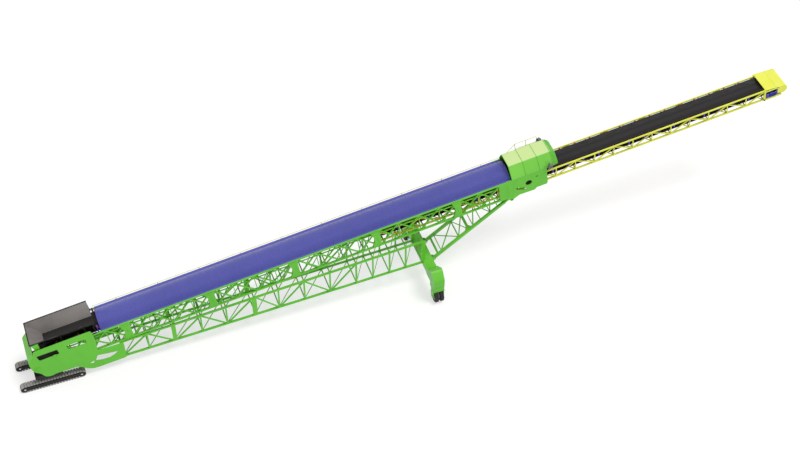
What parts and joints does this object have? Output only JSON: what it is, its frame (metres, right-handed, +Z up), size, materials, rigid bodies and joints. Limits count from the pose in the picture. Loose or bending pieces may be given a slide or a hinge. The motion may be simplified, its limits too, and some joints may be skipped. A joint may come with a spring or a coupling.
{
  "type": "tracked telescopic shiploader, scale model at 1:2",
  "caption": "Tracked telescopic shiploader at half scale: hopper tail on tracks, covered boom, lifting strut, outrigger wheels and a telescoping inner conveyor.",
  "frame": {"origin": "on the floor under the middle of the bounding box", "axes": "+X to the discharge end, +Y to the walkway side, +Z up"},
  "size_m": [27.5246, 3.538, 5.1095],
  "materials": {
    "green_paint": "gloss green paint on steel",
    "yellow_paint": "yellow paint on steel",
    "track_steel": "dark cast track shoes",
    "dark_steel": "black paint",
    "hopper_steel": "worn grey plate",
    "blue_sheet": "blue coated corrugated sheet",
    "belt_rubber": "black conveyor rubber",
    "tyre_rubber": "black tyre rubber",
    "rim_paint": "grey painted rims",
    "bare_steel": "turned steel",
    "galvanised_deck": "galvanised grating",
    "rail_paint": "pale yellow paint"
  },
  "bodies": {
    "chassis": {"crawler_near": "track_steel", "crawler_far": "track_steel", "crawler_frame_near": "dark_steel", "crawler_frame_far": "dark_steel", "crawler_cross_beam": "dark_steel", "side_plate_near": "green_paint", "side_plate_far": "green_paint", "rear_panel": "green_paint", "power_pack": "dark_steel", "lower_truss_near": "green_paint", "lower_truss_far": "green_paint", "lower_truss_floor": "green_paint", "lower_truss_top": "green_paint", "outrigger_beam": "green_paint", "outrigger_column_near": "green_paint", "outrigger_column_far": "green_paint", "strut_foot_lugs": "green_paint", "strut_foot_pins": "bare_steel", "tie_down_near": "green_paint", "tie_down_far": "green_paint"},
    "boom": {"boom_side_near": "green_paint", "boom_side_far": "green_paint", "boom_bottom_frame": "green_paint", "boom_top_frame": "green_paint", "head_plate_near": "green_paint", "head_plate_far": "green_paint", "guide_rollers": "bare_steel", "luff_pin_near": "bare_steel", "luff_pin_far": "bare_steel", "belt_cover": "blue_sheet", "head_hood": "green_paint", "hopper_wall_near": "hopper_steel", "hopper_wall_far": "hopper_steel", "hopper_rear": "hopper_steel", "outer_belt": "belt_rubber", "outer_tail_drum": "bare_steel", "outer_head_drum": "bare_steel", "walkway": "galvanised_deck", "handrail": "rail_paint"},
    "inner_boom": {"inner_side_near": "yellow_paint", "inner_side_far": "yellow_paint", "inner_bottom_frame": "yellow_paint", "inner_belt": "belt_rubber", "inner_tail_drum": "bare_steel", "inner_head_drum": "bare_steel", "head_box": "yellow_paint"},
    "strut_lower": {"strut_frame": "green_paint"},
    "strut_upper": {"strut_slide": "green_paint"},
    "swivel_near": {"wheel_fork_near": "green_paint"},
    "swivel_far": {"wheel_fork_far": "green_paint"},
    "wheels_near": {"tyres_near": "tyre_rubber", "wheel_hub_near": "rim_paint"},
    "wheels_far": {"tyres_far": "tyre_rubber", "wheel_hub_far": "rim_paint"}
  },
  "joints": [
    {"name": "boom_luff", "type": "hinge", "parent": "chassis", "child": "boom", "pos_m": [-12.40227, 0, 1.45], "axis": [0, -1, 0], "range_deg": [0, 8]},
    {"name": "telescope", "type": "slide", "parent": "boom", "child": "inner_boom", "axis": [0.9912, 0, 0.1323], "range_m": [-7.75, 2.75]},
    {"name": "strut_pivot", "type": "hinge", "parent": "chassis", "child": "strut_lower", "pos_m": [0.73773, 0, 0.9], "axis": [0, -1, 0], "range_deg": [0, 24.87]},
    {"name": "strut_extend", "type": "slide", "parent": "strut_lower", "child": "strut_upper", "axis": [0.8005, 0, 0.5994], "range_m": [0, 1.3871]},
    {"name": "wheel_swivel_near", "type": "hinge", "parent": "chassis", "child": "swivel_near", "pos_m": [0.47073, -1.504, 0.584], "axis": [0, 0, 1], "range_deg": [0, 90]},
    {"name": "wheel_roll_near", "type": "hinge", "parent": "swivel_near", "child": "wheels_near", "pos_m": [0.47073, -1.504, 0.265], "axis": [1, 0, 0], "continuous": true},
    {"name": "wheel_swivel_far", "type": "hinge", "parent": "chassis", "child": "swivel_far", "pos_m": [0.47073, 1.504, 0.584], "axis": [0, 0, 1], "range_deg": [0, 90]},
    {"name": "wheel_roll_far", "type": "hinge", "parent": "swivel_far", "child": "wheels_far", "pos_m": [0.47073, 1.504, 0.265], "axis": [1, 0, 0], "continuous": true}
  ],
  "couplings": [
    {"joint": "strut_pivot", "follows": "boom_luff", "ratio": 3.1019},
    {"joint": "strut_extend", "follows": "boom_luff", "m_per_rad": 9.9202}
  ]
}
